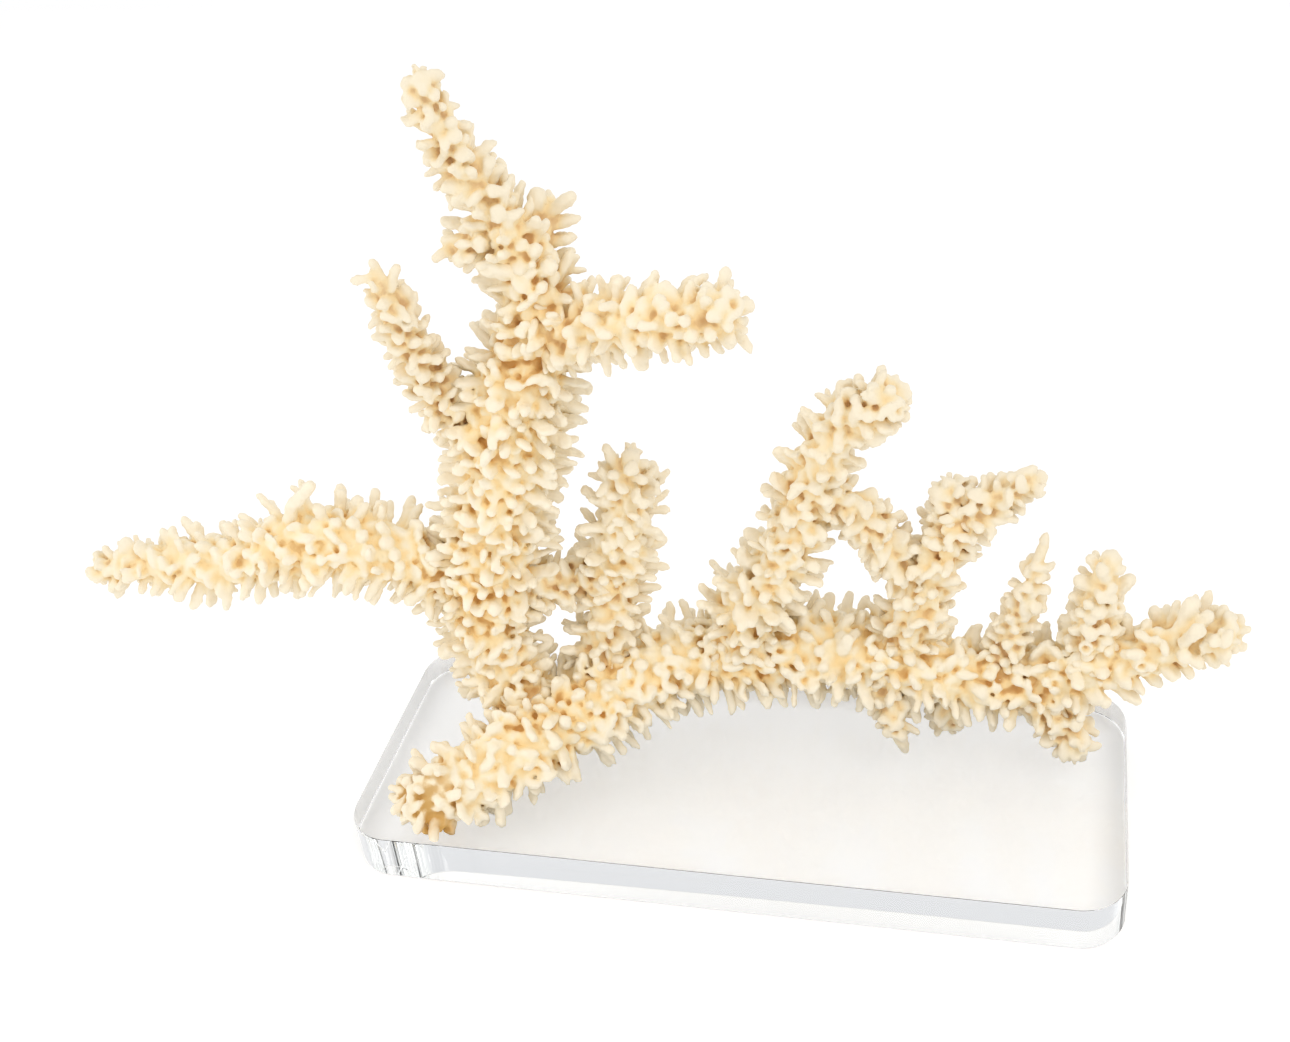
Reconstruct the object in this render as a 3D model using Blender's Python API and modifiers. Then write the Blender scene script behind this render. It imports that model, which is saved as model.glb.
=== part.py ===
"""A branching coral specimen fixed on a clear acrylic slab.

The frame: metres, +Z up, the origin at the middle of the slab's underside, +X along the slab
and towards the coral's low right end, -Y towards the viewer.

The coral is split at its forks. Each branch follows a smooth line through a few points read by
hand. A curve with a bevel makes its core, the core's faces are drawn out into tapered fingers,
and a side branch is cut to sit on the core that carries it.
"""

import math
import random

import bmesh
import bpy
import numpy as np
from mathutils import Vector
from mathutils.bvhtree import BVHTree

MM = 0.001

# The acrylic slab
SLAB_LENGTH = 285 * MM
SLAB_DEPTH = 112 * MM
SLAB_THICKNESS = 19 * MM
SLAB_CORNER_RADIUS = 17 * MM
SLAB_CORNER_SEGMENTS = 8
SLAB_EDGE_BEVEL = 0.6 * MM

# Clearance between touching pieces, and the distance within which two corners are one
GAP = 0.3 * MM
WELD = 0.01 * MM

# The fingers
FINGER_SPACING = 7.6 * MM
SPACING_ON_TWIGS = 5.8 * MM
TWIG_CORE = 5 * MM
FEWEST_SIDES = 6
LONGEST_FINGER = 10 * MM
SHORTEST_FINGER = 3.6 * MM
FINGER_PER_REACH = 0.66
FINGER_SHARE_OUTSIDE_CORE = 0.85
LENGTH_SPREAD = 0.16
LEAN_ON_THICK = 0.12
LEAN_ON_THIN = 0.75
THICK_REACH = 20 * MM
SIDEWAYS_SPREAD = 0.20
TIP_WIDTH = 0.52
TIP_BREADTH = 0.10
FINGER_CLEARANCE = 1.08
END_DOME = 0.5
RING_TWIST = 0.42
SEED = 20

# Cutters that seat a side branch on its carrier
SEAT_SIDES = 16
SEAT_STEP = 5 * MM

# How finely a line is measured before it is divided evenly
LINE_SAMPLES = 400

# Each line's points: x, y and z of the branch's middle, and its reach, which is half its width
# measured over the fingers, all in millimetres. A side branch starts inside its carrier.
LINES = {
    "low": [
        (-110, -44, 31, 13.5),
        (-98, -38, 34, 16.5),
        (-81, -24, 38, 18.5),
        (-67, -9, 40, 19.5),
        (-54, 5, 41, 20.5),
        (-40, 16, 46, 20.5),
        (-25, 22, 50, 20.0),
        (-10, 25, 52, 20.5),
        (6, 27, 54, 20.5),
        (21, 28, 55, 20.5),
        (36, 28, 56, 19.5),
        (51, 28, 55, 19.5),
        (66, 28, 52, 19.0),
        (81, 28, 49, 18.0),
        (96, 28, 47, 17.0),
        (110, 28, 48, 17.0),
        (124, 28, 54, 17.0),
        (134, 27, 60, 15.0),
        (147, 26, 67, 13.0),
        (160, 24, 75, 13.0),
        (170, 22, 80, 9.0),
    ],
    "trunk": [
        (-68, -5, 41, 13.0),
        (-85, 0, 49, 19.0),
        (-91, 4, 64, 18.5),
        (-93, 6, 87, 21.5),
        (-88, 7, 105, 23.0),
        (-84, 8, 123, 22.0),
        (-78, 8, 140, 22.0),
        (-73, 8, 157, 23.0),
        (-68, 8, 174, 22.5),
        (-60, 8, 193, 18.5),
        (-54, 8, 212, 16.0),
        (-55, 6, 227, 14.0),
        (-58, 4, 237, 12.5),
        (-62, 2, 248, 10.5),
        (-66, -2, 260, 8.5),
        (-69, -5, 270, 8.0),
        (-71, -8, 280, 7.5),
        (-72, -12, 294, 7.5),
    ],
    "crown_spur": [(-58, 4, 237, 7.0), (-68, 2, 236, 9.0), (-76, 1, 235, 8.0)],
    "crown_twig": [(-54, 7, 224, 7.0), (-51, 10, 233, 8.5), (-47, 14, 241, 7.5)],
    "right_arm": [
        (-57, 8, 199, 15.0),
        (-39, 4, 205, 14.0),
        (-24, -2, 210, 13.0),
        (-3, -8, 215, 12.5),
        (10, -12, 219, 10.5),
    ],
    "left_spur": [
        (-80, 7, 160, 11.0),
        (-92, 2, 177, 10.0),
        (-94, -4, 194, 8.5),
        (-95, -9, 210, 8.0),
        (-96, -13, 223, 7.0),
        (-97, -16, 233, 5.5),
    ],
    "left_arm": [
        (-93, 7, 92, 17.0),
        (-107, 4, 101, 17.0),
        (-120, 0, 111, 18.0),
        (-138, -4, 118, 18.5),
        (-156, -8, 121, 18.0),
        (-171, -10, 114, 15.0),
        (-196, -12, 111, 14.0),
        (-216, -14, 111, 11.0),
        (-236, -16, 108, 6.5),
    ],
    "inner_spire": [
        (-59, 14, 43, 14.0),
        (-54, 18, 61, 13.0),
        (-48, 18, 81, 14.0),
        (-43, 18, 100, 15.5),
        (-37, 16, 122, 14.5),
        (-34, 14, 138, 10.0),
        (-34, 13, 146, 7.0),
    ],
    "bridge": [(-88, 8, 88, 10.0), (-67, 14, 91, 10.5), (-47, 18, 92, 10.0)],
    "tall_spire": [
        (2, 27, 55, 17.0),
        (4, 24, 78, 18.5),
        (17, 22, 99, 14.5),
        (24, 20, 118, 13.5),
        (29, 18, 136, 12.5),
        (36, 16, 153, 12.0),
        (44, 14, 166, 11.0),
        (57, 10, 176, 9.0),
    ],
    "forked_spire": [
        (58, 28, 56, 14.0),
        (65, 28, 79, 13.5),
        (70, 28, 98, 13.0),
        (77, 27, 112, 12.0),
        (87, 26, 124, 9.0),
        (97, 25, 132, 7.0),
        (104, 24, 138, 6.0),
    ],
    "forked_stub": [(75, 27, 108, 7.5), (78, 28, 123, 7.5), (78, 28, 130, 6.5)],
    "link": [
        (29, 18, 136, 8.0),
        (43, 20, 128, 9.0),
        (51, 22, 118, 9.5),
        (57, 25, 104, 10.0),
        (66, 28, 86, 9.0),
    ],
    "thin_spire": [
        (95, 28, 48, 8.0),
        (99, 27, 70, 7.5),
        (104, 26, 86, 6.5),
        (107, 25, 100, 5.5),
        (110, 24, 111, 5.0),
    ],
    "knotty_spire": [
        (125, 28, 55, 11.0),
        (127, 27, 71, 10.0),
        (128, 26, 85, 9.0),
        (128, 25, 95, 9.5),
        (131, 24, 105, 8.0),
    ],
    "front_leg": [(52, 27, 50, 9.0), (55, 19, 38, 8.5), (59, 14, 30, 7.5), (61, 11, 25, 6.0)],
    "right_foot": [
        (105, 28, 42, 11.5),
        (117, 23, 36, 10.5),
        (122, 19, 29, 9.0),
        (123, 18, 26, 7.5),
    ],
    "under_twig": [(74, 28, 46, 8.0), (76, 27, 34, 7.5), (77, 26, 26, 6.0)],
}

# Each branch: its name, its line, the points that it runs between, the lines whose cores it is
# cut to sit on, which of its ends is free, and the tint of its colour, from 0, pale ivory, to 1,
# the brown of the old break. A branch that carries others comes before them.
BRANCHES = [
    ("left_foot", "low", 0, 3, [], "start", 0.8),
    ("bough_near", "low", 3, 7, [], None, 0.4),
    ("bough_middle", "low", 7, 11, [], None, 0.5),
    ("bough_far", "low", 11, 16, [], None, 0.4),
    ("bough_end", "low", 16, 20, [], "end", 0.2),
    ("trunk_lower", "trunk", 0, 4, ["low"], None, 0.3),
    ("trunk_middle", "trunk", 4, 8, [], None, 0.35),
    ("trunk_upper", "trunk", 8, 11, [], None, 0.35),
    ("crown", "trunk", 11, 17, [], "end", 0.25),
    ("crown_spur", "crown_spur", 0, 2, ["trunk"], "end", 0.2),
    ("crown_twig", "crown_twig", 0, 2, ["trunk"], "end", 0.2),
    ("right_arm", "right_arm", 0, 4, ["trunk"], "end", 0.25),
    ("left_spur", "left_spur", 0, 5, ["trunk"], "end", 0.2),
    ("left_arm", "left_arm", 0, 8, ["trunk"], "end", 0.3),
    ("inner_spire", "inner_spire", 0, 6, ["low"], "end", 0.35),
    ("bridge", "bridge", 0, 2, ["trunk", "inner_spire"], None, 0.3),
    ("tall_spire", "tall_spire", 0, 7, ["low"], "end", 0.3),
    ("forked_spire", "forked_spire", 0, 6, ["low"], "end", 0.3),
    ("forked_stub", "forked_stub", 0, 2, ["forked_spire"], "end", 0.2),
    ("link_branch", "link", 0, 4, ["tall_spire", "forked_spire"], None, 0.3),
    ("thin_spire", "thin_spire", 0, 4, ["low"], "end", 0.2),
    ("knotty_spire", "knotty_spire", 0, 4, ["low"], "end", 0.25),
    ("front_leg", "front_leg", 0, 3, ["low"], "end", 0.45),
    ("right_foot", "right_foot", 0, 3, ["low"], "end", 0.45),
    ("under_twig", "under_twig", 0, 2, ["low"], "end", 0.4),
]

# Colours
PALE_IVORY = (0.80, 0.70, 0.50)
WARM_BROWN = (0.62, 0.40, 0.18)
ACRYLIC_COLOUR = (0.93, 0.96, 0.96)


def clear_scene():
    for obj in list(bpy.data.objects):
        bpy.data.objects.remove(obj, do_unlink=True)


def new_collection(name):
    collection = bpy.data.collections.new(name)
    bpy.context.scene.collection.children.link(collection)
    return collection


def new_material(name, colour, roughness, transmission=0.0):
    material = bpy.data.materials.new(name)
    material.use_nodes = True
    shader = material.node_tree.nodes["Principled BSDF"]
    shader.inputs["Base Color"].default_value = (*colour, 1.0)
    shader.inputs["Roughness"].default_value = roughness
    shader.inputs["Metallic"].default_value = 0.0
    shader.inputs["Transmission Weight"].default_value = transmission
    return material


def coral_material(name, tint):
    colour = [pale + (brown - pale) * tint for pale, brown in zip(PALE_IVORY, WARM_BROWN)]
    return new_material(name + "_coral", colour, 0.8)


def smooth_point(points, place):
    """The line's position and reach at a place between its points, on a Catmull-Rom curve."""
    last = len(points) - 1
    left = min(int(place), last - 1)
    share = place - left
    near = [points[min(max(left + step, 0), last)] for step in (-1, 0, 1, 2)]
    before, start, end, after = (np.array(point, float) * MM for point in near)
    bend = 2 * before - 5 * start + 4 * end - after
    turn = 3 * start - before - 3 * end + after
    return start + 0.5 * share * ((end - before) + share * (bend + share * turn))


def finger_length(reach):
    return min(max(reach * FINGER_PER_REACH, SHORTEST_FINGER), LONGEST_FINGER)


def core_radius(reach):
    return reach - FINGER_SHARE_OUTSIDE_CORE * finger_length(reach)


class Rings:
    """Evenly spaced rings along a stretch of a line, with their centres, reaches and tangents."""

    def __init__(self, points, first, last, step):
        samples = np.array([smooth_point(points, t) for t in np.linspace(first, last, LINE_SAMPLES)])
        along = np.linalg.norm(np.diff(samples[:, :3], axis=0), axis=1)
        travelled = np.concatenate([[0.0], np.cumsum(along)])
        count = max(round(travelled[-1] / step), 2) + 1
        wanted = np.linspace(0.0, travelled[-1], count)
        even = np.stack([np.interp(wanted, travelled, samples[:, i]) for i in range(4)], axis=1)
        self.step = step
        self.centres = even[:, :3]
        self.reaches = even[:, 3]
        self.cores = np.array([core_radius(reach) for reach in self.reaches])
        slopes = np.gradient(self.centres, axis=0)
        self.tangents = slopes / np.linalg.norm(slopes, axis=1)[:, None]

    def nearest(self, place):
        return int(np.argmin(np.linalg.norm(self.centres - place, axis=1)))

    def distances(self, places):
        """From each place to each stretch of the centre line, with the core's radius there."""
        starts = self.centres[:-1]
        steps = self.centres[1:] - starts
        offsets = places[:, None, :] - starts[None]
        share = (offsets * steps).sum(axis=2) / (steps * steps).sum(axis=1)
        share = share.clip(0.0, 1.0)
        gaps = np.linalg.norm(offsets - share[..., None] * steps, axis=2)
        cores = self.cores[:-1] + share * np.diff(self.cores)
        return gaps, cores


def tube_mesh_object(name, rings, radii, sides, twist):
    """A tube of varying radius along the rings, as a closed mesh object."""
    curve = bpy.data.curves.new(name, "CURVE")
    curve.dimensions = "3D"
    curve.bevel_depth = 1.0
    curve.bevel_resolution = sides // 2 - 2
    curve.use_fill_caps = True
    spline = curve.splines.new("POLY")
    spline.points.add(len(rings.centres) - 1)
    for index, point in enumerate(spline.points):
        point.co = (*rings.centres[index], 1.0)
        point.radius = radii[index]
        point.tilt = index * twist
    drawn = bpy.data.objects.new(name + "_line", curve)
    bpy.context.scene.collection.objects.link(drawn)
    bpy.context.view_layer.update()
    evaluated = drawn.evaluated_get(bpy.context.evaluated_depsgraph_get())
    mesh = bpy.data.meshes.new_from_object(evaluated)
    mesh.name = name
    obj = bpy.data.objects.new(name, mesh)
    obj.matrix_world = drawn.matrix_world
    bpy.data.objects.remove(drawn, do_unlink=True)
    bpy.data.curves.remove(curve)
    bm = bmesh.new()
    bm.from_mesh(mesh)
    bmesh.ops.remove_doubles(bm, verts=bm.verts, dist=WELD)
    bmesh.ops.recalc_face_normals(bm, faces=bm.faces)
    bm.to_mesh(mesh)
    bm.free()
    return obj


class Branch:
    """One piece of the coral between two forks, or from a fork to a tip."""

    def __init__(self, name, line, first, last, seats, free_end, tint):
        self.name = name
        self.line = line
        self.seats = seats
        self.free_end = free_end
        self.tint = tint
        self.tree = None
        points = LINES[line]
        is_twig = core_radius(smooth_point(points, (first + last) / 2)[3]) < TWIG_CORE
        self.rings = Rings(points, first, last, SPACING_ON_TWIGS if is_twig else FINGER_SPACING)
        around = 2 * math.pi * float(self.rings.cores.mean())
        self.sides = max(2 * round(around / self.rings.step / 2), FEWEST_SIDES)
        self.joints = []
        if first > 0:
            self.joints.append(joint_plane(points, first, -1))
        if last < len(points) - 1:
            self.joints.append(joint_plane(points, last, 1))

    def keep_behind_joints(self, vertices):
        """Moves any vertex that is past a joint's plane back to half the gap before it."""
        for place, outward in self.joints:
            for vertex in vertices:
                past = (vertex.co - place).dot(outward) + GAP / 2
                if past > 0:
                    vertex.co -= outward * past

    def lay_caps_on_joints(self, caps):
        for place, outward in self.joints:
            for vertex in nearest_face(caps, place).verts:
                vertex.co -= outward * ((vertex.co - place).dot(outward) + GAP / 2)

    def tip_cap(self, caps):
        """The cap at the free end, or None where the branch has none."""
        if self.free_end is None:
            return None
        return nearest_face(caps, self.rings.centres[0 if self.free_end == "start" else -1])


def joint_plane(points, index, side):
    """The place and outward direction of the flat joint at one of a line's points."""
    before, place, after = (Vector(points[index + step][:3]) * MM for step in (-1, 0, 1))
    return place, side * (after - before).normalized()


def nearest_face(faces, place):
    return min(faces, key=lambda face: (face.calc_center_median() - Vector(place)).length)


def growth_direction(branch, face, ring, dice):
    """Outwards from the core on thick wood, leaning towards the tip on thin wood."""
    tangent = Vector(branch.rings.tangents[ring])
    if branch.free_end == "start":
        tangent = -tangent
    thinness = 1 - min(branch.rings.reaches[ring] / THICK_REACH, 1)
    lean = LEAN_ON_THICK + (LEAN_ON_THIN - LEAN_ON_THICK) * thinness
    spread = Vector([dice.uniform(-1, 1) for _ in range(3)]) * SIDEWAYS_SPREAD
    return (face.normal + tangent * lean + spread).normalized()


def tip_corners(face, travel, dice):
    """Where a face's corners go when it is drawn out: a quad narrows to a short blunt edge."""
    corners = [vertex.co for vertex in face.verts]
    middle = face.calc_center_median()
    tip = middle + travel
    if len(corners) != 4:
        return [tip + (corner - middle) * TIP_BREADTH for corner in corners]
    turn = dice.randrange(2)
    half_edge = (corners[turn] + corners[turn + 1]) / 2 - middle
    ends = [tip + half_edge * TIP_WIDTH] * 2 + [tip - half_edge * TIP_WIDTH] * 2
    return ends[-turn:] + ends[:-turn]


def finger_surface(face, tips):
    """The finger that would grow from a face, a little enlarged, as a tree to test for contact."""
    corners = [vertex.co for vertex in face.verts]
    count = len(corners)
    places = corners + tips
    middle = sum(places, Vector()) / len(places)
    enlarged = [middle + (place - middle) * FINGER_CLEARANCE for place in places]
    after = [(index + 1) % count for index in range(count)]
    sides = [(index, after[index], count + after[index], count + index) for index in range(count)]
    return BVHTree.FromPolygons(enlarged, sides)


def sample_places(face, tips):
    """Points over the foot of a finger and along it."""
    corners = [vertex.co for vertex in face.verts]
    middle = face.calc_center_median()
    tip = sum(tips, Vector()) / len(tips)
    edges = [(a + b) / 2 for a, b in zip(corners, corners[1:] + corners[:1])]
    along = [middle + (tip - middle) * share for share in (0.0, 0.33, 0.66)]
    slanted = [corner + (tip - corner) / 2 for corner in corners]
    return np.array([tuple(place) for place in corners + edges + along + slanted + tips])


def is_free(branch, face, tips, branches):
    """True where a finger keeps clear of other cores, and of the fingers already grown.

    Flat joints already keep the branches of one line apart.
    """
    places = sample_places(face, tips)
    surface = finger_surface(face, tips)
    for other in branches:
        if other.line == branch.line:
            continue
        gaps, cores = other.rings.distances(places)
        if (gaps < cores + 2 * GAP).any():
            return False
        if other.tree is not None and other.tree.overlap(surface):
            return False
    return True


def grow_fingers(bm, branch, branches, cap_faces, dice):
    """Draws each free face of the core out into a finger with a narrow blunt edge at its tip."""
    grown = []
    for face in list(bm.faces):
        if face in cap_faces:
            continue
        ring = branch.rings.nearest(np.array(face.calc_center_median()))
        full_length = finger_length(branch.rings.reaches[ring])
        length = full_length * (1 + dice.uniform(-LENGTH_SPREAD, LENGTH_SPREAD))
        travel = growth_direction(branch, face, ring, dice) * length
        tips = tip_corners(face, travel, dice)
        if is_free(branch, face, tips, branches):
            grown.append((face, tips))
    tops = bmesh.ops.extrude_discrete_faces(bm, faces=[face for face, _ in grown])["faces"]
    for top, (_, tips) in zip(tops, grown):
        for vertex, place in zip(top.verts, tips):
            vertex.co = place
    tip_vertices = [vertex for top in tops for vertex in top.verts]
    branch.keep_behind_joints(tip_vertices)
    bmesh.ops.remove_doubles(bm, verts=tip_vertices, dist=WELD)


def rest_on_slab(bm):
    """Flattens whatever would reach into the slab, so that the coral rests there."""
    floor = SLAB_THICKNESS + GAP
    for vertex in bm.verts:
        vertex.co.z = max(vertex.co.z, floor)


def make_branch(branch, branches, seats, collection):
    twist = RING_TWIST * 2 * math.pi / branch.sides
    obj = tube_mesh_object(branch.name, branch.rings, branch.rings.cores, branch.sides, twist)
    collection.objects.link(obj)
    dice = random.Random(SEED + len(collection.objects))
    bm = bmesh.new()
    bm.from_mesh(obj.data)
    cap_triangles = [face for face in bm.faces if len(face.verts) == 3]
    caps = bmesh.ops.dissolve_faces(bm, faces=cap_triangles)["region"]
    branch.lay_caps_on_joints(caps)
    tip = branch.tip_cap(caps)
    if tip is not None:
        caps.remove(tip)
        outward = tip.normal.copy()
        radius = max((vertex.co - tip.calc_center_median()).length for vertex in tip.verts)
        centre = bmesh.ops.poke(bm, faces=[tip])["verts"][0]
        centre.co += outward * radius * END_DOME
    bm.normal_update()
    grow_fingers(bm, branch, branches, set(caps), dice)
    rest_on_slab(bm)
    branch.tree = BVHTree.FromBMesh(bm)
    bm.to_mesh(obj.data)
    bm.free()
    for seat in branch.seats:
        cut = obj.modifiers.new("seat_on_" + seat, "BOOLEAN")
        cut.operation = "DIFFERENCE"
        cut.object = seats[seat]
    obj.data.materials.append(coral_material(branch.name, branch.tint))
    return obj


def make_seats(branches, collection):
    """A cutter for each line that carries side branches: its core, grown by the gap."""
    cutters = {}
    for line in sorted({seat for branch in branches for seat in branch.seats}):
        points = LINES[line]
        rings = Rings(points, 0, len(points) - 1, SEAT_STEP)
        radii = (rings.cores + GAP) / math.cos(math.pi / SEAT_SIDES)
        cutter = tube_mesh_object(line + "_seat", rings, radii, SEAT_SIDES, 0.0)
        cutter.hide_render = True
        cutter.display_type = "WIRE"
        collection.objects.link(cutter)
        cutters[line] = cutter
    return cutters


def make_slab(collection):
    bm = bmesh.new()
    bmesh.ops.create_cube(bm, size=1.0)
    bmesh.ops.scale(bm, vec=(SLAB_LENGTH, SLAB_DEPTH, SLAB_THICKNESS), verts=bm.verts)
    upright = [edge for edge in bm.edges if abs(edge.verts[0].co.z - edge.verts[1].co.z) > MM]
    bmesh.ops.bevel(
        bm,
        geom=upright,
        offset=SLAB_CORNER_RADIUS,
        segments=SLAB_CORNER_SEGMENTS,
        profile=0.5,
        affect="EDGES",
    )
    mesh = bpy.data.meshes.new("acrylic_slab")
    bm.to_mesh(mesh)
    bm.free()
    slab = bpy.data.objects.new("acrylic_slab", mesh)
    slab.location.z = SLAB_THICKNESS / 2
    collection.objects.link(slab)
    edge = slab.modifiers.new("polished_edge", "BEVEL")
    edge.width = SLAB_EDGE_BEVEL
    edge.segments = 1
    edge.limit_method = "ANGLE"
    slab.data.materials.append(new_material("clear_acrylic", ACRYLIC_COLOUR, 0.04, 1.0))
    return slab


def main():
    clear_scene()
    parts = new_collection("branching_coral")
    cutters = new_collection("cutters")
    make_slab(parts)
    branches = [Branch(*row) for row in BRANCHES]
    seats = make_seats(branches, cutters)
    for branch in branches:
        make_branch(branch, branches, seats, parts)


main()
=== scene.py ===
# %% [markdown]
# A branching coral on a clear acrylic slab
#
# The real object is a bleached, dried coral, fixed on a thick slab of clear acrylic. The coral
# is one growth: a low bough, a trunk and many side branches, all covered with blunt fingers
# about 4 mm thick. In a living coral each finger held one polyp.
#
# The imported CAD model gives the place, size and thickness of every branch. This script gives
# them their real surface. It is written for Blender 4.5, in metres, with Z up.

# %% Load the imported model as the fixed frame
import math
import random

import bpy
import numpy as np
from mathutils import Matrix, Vector


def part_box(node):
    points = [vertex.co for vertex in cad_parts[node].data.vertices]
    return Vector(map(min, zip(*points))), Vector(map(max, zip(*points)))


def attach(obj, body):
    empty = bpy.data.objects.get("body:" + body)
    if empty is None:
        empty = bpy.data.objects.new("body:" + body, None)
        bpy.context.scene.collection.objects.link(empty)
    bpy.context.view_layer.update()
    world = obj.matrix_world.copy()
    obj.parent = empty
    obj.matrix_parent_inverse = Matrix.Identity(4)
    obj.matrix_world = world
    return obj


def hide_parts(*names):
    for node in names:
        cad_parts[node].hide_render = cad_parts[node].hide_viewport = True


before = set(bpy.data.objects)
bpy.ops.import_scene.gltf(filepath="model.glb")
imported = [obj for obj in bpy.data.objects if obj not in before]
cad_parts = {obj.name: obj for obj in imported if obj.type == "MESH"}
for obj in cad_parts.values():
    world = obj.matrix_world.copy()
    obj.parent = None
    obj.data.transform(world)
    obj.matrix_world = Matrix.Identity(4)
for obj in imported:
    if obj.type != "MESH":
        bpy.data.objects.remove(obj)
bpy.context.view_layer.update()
MM = 0.001
print("nodes of the frame:", len(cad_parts))

# %% [markdown]
# The camera
#
# The photograph was taken from above and a little to the right, by a camera that was not quite
# level. The slab's straight edges show it: where they meet gives the lens and the direction.
# The camera could be moved by hand until the slab fits. Here it was solved from the corners'
# places, which also gives the slab's proportions, so its numbers are simply set.

# %% Set the camera
PHOTO_WIDTH = 1290
LENS_IN_PIXELS = 1595.7
SENSOR = 36.0
NEAREST_SEEN = 10 * MM
CAMERA_PLACE = (109.7 * MM, -433.7 * MM, 445.2 * MM)
CAMERA_TURN = (55.12, 6.01, 13.07)


def deselect_all():
    bpy.ops.object.select_all(action="DESELECT")


deselect_all()
bpy.ops.object.camera_add(
    location=CAMERA_PLACE, rotation=[math.radians(angle) for angle in CAMERA_TURN]
)
camera = bpy.context.object
camera.name = "camera"
camera.data.sensor_width = SENSOR
camera.data.lens = SENSOR * LENS_IN_PIXELS / PHOTO_WIDTH
camera.data.clip_start = NEAREST_SEEN
bpy.context.scene.camera = camera
print("lens in mm:", round(camera.data.lens, 2))

# %% [markdown]
# Light and floor
#
# The photograph is high-key: a white table, a large soft light from the upper right and white
# walls around. Two large area lights and a pale sky give that. The sky is darker near the
# horizon, and it has a grey patch behind the object, like a grey screen. Clear acrylic is only
# seen by what it bends and mirrors: in an evenly white room its edges would vanish. Light is
# also thrown to and fro inside the slab, so it needs more bounces than the usual few.

# %% Make the sky, the lights and the floor
SKY_TOP = (1.06, 1.06, 1.06, 1.0)
SKY_HORIZON = (0.80, 0.79, 0.77, 1.0)
SKY_SCREEN = (0.83, 0.84, 0.86, 1.0)
SKY_STRENGTH = 0.92
HORIZON_HEIGHT = 0.05
TOP_HEIGHT = 0.55
SCREEN_DIRECTION = (-0.15, 0.62, 0.77)
SCREEN_EDGE = 0.72
SCREEN_FULL = 0.86
ALL_BOUNCES = 24
CLEAR_BOUNCES = 20

scene = bpy.context.scene
scene.view_settings.view_transform = "Standard"
world = bpy.data.worlds.new("studio")
scene.world = world
world.use_nodes = True
sky_nodes = world.node_tree.nodes
sky_links = world.node_tree.links
sky_place = sky_nodes.new("ShaderNodeTexCoord")
sky_split = sky_nodes.new("ShaderNodeSeparateXYZ")
sky_ramp = sky_nodes.new("ShaderNodeValToRGB")
sky_links.new(sky_place.outputs["Generated"], sky_split.inputs[0])
sky_links.new(sky_split.outputs["Z"], sky_ramp.inputs[0])
sky_stops = [(HORIZON_HEIGHT, SKY_HORIZON), (TOP_HEIGHT, SKY_TOP)]
for element, (height, tone) in zip(sky_ramp.color_ramp.elements, sky_stops):
    element.position = height
    element.color = tone
to_screen = sky_nodes.new("ShaderNodeVectorMath")
to_screen.operation = "DOT_PRODUCT"
to_screen.inputs[1].default_value = SCREEN_DIRECTION
sky_links.new(sky_place.outputs["Generated"], to_screen.inputs[0])
screen_share = sky_nodes.new("ShaderNodeMapRange")
screen_share.inputs["From Min"].default_value = SCREEN_EDGE
screen_share.inputs["From Max"].default_value = SCREEN_FULL
sky_links.new(to_screen.outputs["Value"], screen_share.inputs["Value"])
sky_mix = sky_nodes.new("ShaderNodeMixRGB")
sky_mix.inputs["Color2"].default_value = SKY_SCREEN
sky_links.new(screen_share.outputs["Result"], sky_mix.inputs["Fac"])
sky_links.new(sky_ramp.outputs[0], sky_mix.inputs["Color1"])
sky_links.new(sky_mix.outputs[0], sky_nodes["Background"].inputs["Color"])
sky_nodes["Background"].inputs["Strength"].default_value = SKY_STRENGTH
scene.cycles.max_bounces = ALL_BOUNCES
scene.cycles.glossy_bounces = CLEAR_BOUNCES
scene.cycles.transmission_bounces = CLEAR_BOUNCES


def add_light(name, place, aim, size, power, colour):
    """A round area light that shines from its place towards its aim."""
    deselect_all()
    bpy.ops.object.light_add(type="AREA", location=place)
    light = bpy.context.object
    light.name = name
    light.rotation_euler = (Vector(aim) - Vector(place)).to_track_quat("-Z", "Y").to_euler()
    light.data.shape = "DISK"
    light.data.size = size
    light.data.energy = power
    light.data.color = colour


CORAL_MIDDLE = (-0.03, 0.0, 0.12)
add_light(
    "key_light",
    place=(0.9, -0.7, 1.5), aim=CORAL_MIDDLE, size=0.8, power=4.6, colour=(1.0, 0.97, 0.93),
)
add_light(
    "fill_light",
    place=(-1.2, -0.6, 0.8), aim=CORAL_MIDDLE, size=1.2, power=3.4, colour=(1.0, 0.98, 0.96),
)

FLOOR_SIZE = 12.0
FLOOR_BELOW = 0.4 * MM
deselect_all()
bpy.ops.mesh.primitive_plane_add(size=FLOOR_SIZE, location=(0, 0, -FLOOR_BELOW))
floor = bpy.context.object
floor.name = "pale_floor"

# %% [markdown]
# Writing a material
#
# A material is a web of small nodes. Written one by one they fill pages, so two small helpers
# come first. A Wire is one output: adding, taking away or multiplying wires makes the Math
# nodes. A Finish is one material, with one method that adds any other node. The floor is the
# first to get one. It glows faintly, and more so under and near the slab, where the glow is
# painted light for the light that the slab and the coral keep from it. Without that it would be
# grey, seen through the acrylic.


# %% Make two helpers for materials, and finish the floor
class Wire:
    """One output of a node, which can be used in sums."""

    def __init__(self, finish, socket):
        self.finish = finish
        self.socket = socket

    def __add__(self, other):
        return self.finish.maths("ADD", self, other)

    def __radd__(self, other):
        return self.finish.maths("ADD", other, self)

    def __sub__(self, other):
        return self.finish.maths("SUBTRACT", self, other)

    def __rsub__(self, other):
        return self.finish.maths("SUBTRACT", other, self)

    def __mul__(self, other):
        return self.finish.maths("MULTIPLY", self, other)

    def __rmul__(self, other):
        return self.finish.maths("MULTIPLY", other, self)


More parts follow.
